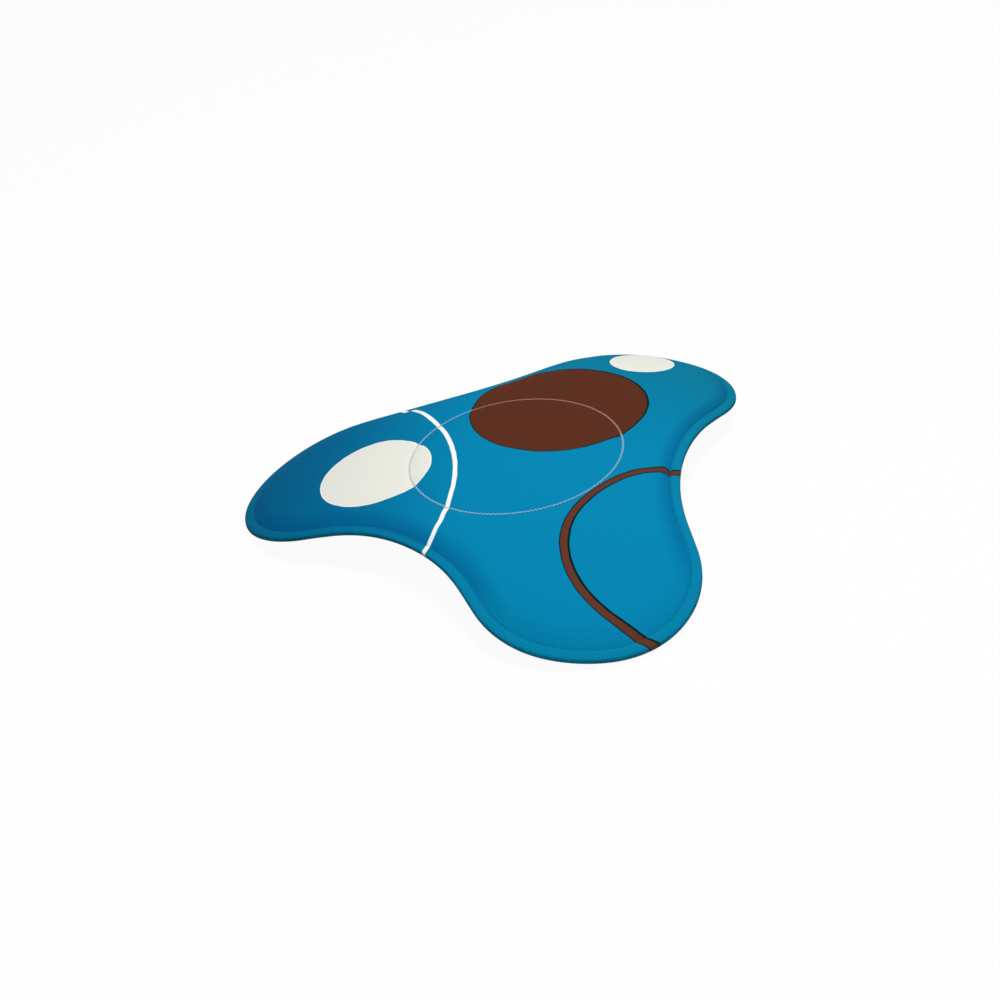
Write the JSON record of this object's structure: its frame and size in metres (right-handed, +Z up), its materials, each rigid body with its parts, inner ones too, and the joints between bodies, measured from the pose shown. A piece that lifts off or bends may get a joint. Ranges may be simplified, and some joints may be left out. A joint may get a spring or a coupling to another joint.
{
  "type": "kneeling board",
  "caption": "Domed three-lobed padded kneeling board with a sewn flange, a stitched crown ring and a fabric cover with plain round spots and curved stripes.",
  "frame": {"origin": "centre of the flat grip patch's lower face, on the axis of the stitched crown ring; the lobe tips hang about 40 mm below it", "axes": "+Z up along the crown's axis, out of the printed side; -Y along one lobe's own axis; +X to the right of it, across the widest way"},
  "size_m": [0.5396, 0.4967, 0.0594],
  "materials": {
    "blue_canvas": "ribbed cotton canvas, printed blue",
    "brown_canvas": "plain brown canvas",
    "foam": "closed-cell foam",
    "core_plastic": "moulded stiff sheet",
    "white_cloth": "undyed canvas edge",
    "grip_rubber": "matt non-slip sheet",
    "white_thread": "spun sewing thread",
    "blue_thread": "spun sewing thread",
    "brown_print": "matt textile ink",
    "white_print": "unprinted pale canvas"
  },
  "bodies": {
    "root": {"top_cover": "blue_canvas", "bottom_cover": "brown_canvas", "foam_pad": "foam", "core_board": "core_plastic", "seam_allowance": "white_cloth", "grip_patch": "grip_rubber", "ring_stitch": "white_thread", "edge_stitch": "blue_thread", "brown_spot": "brown_print", "brown_stripe": "brown_print", "large_white_spot": "white_print", "small_white_spot": "white_print", "white_stripe": "white_print"}
  },
  "joints": []
}
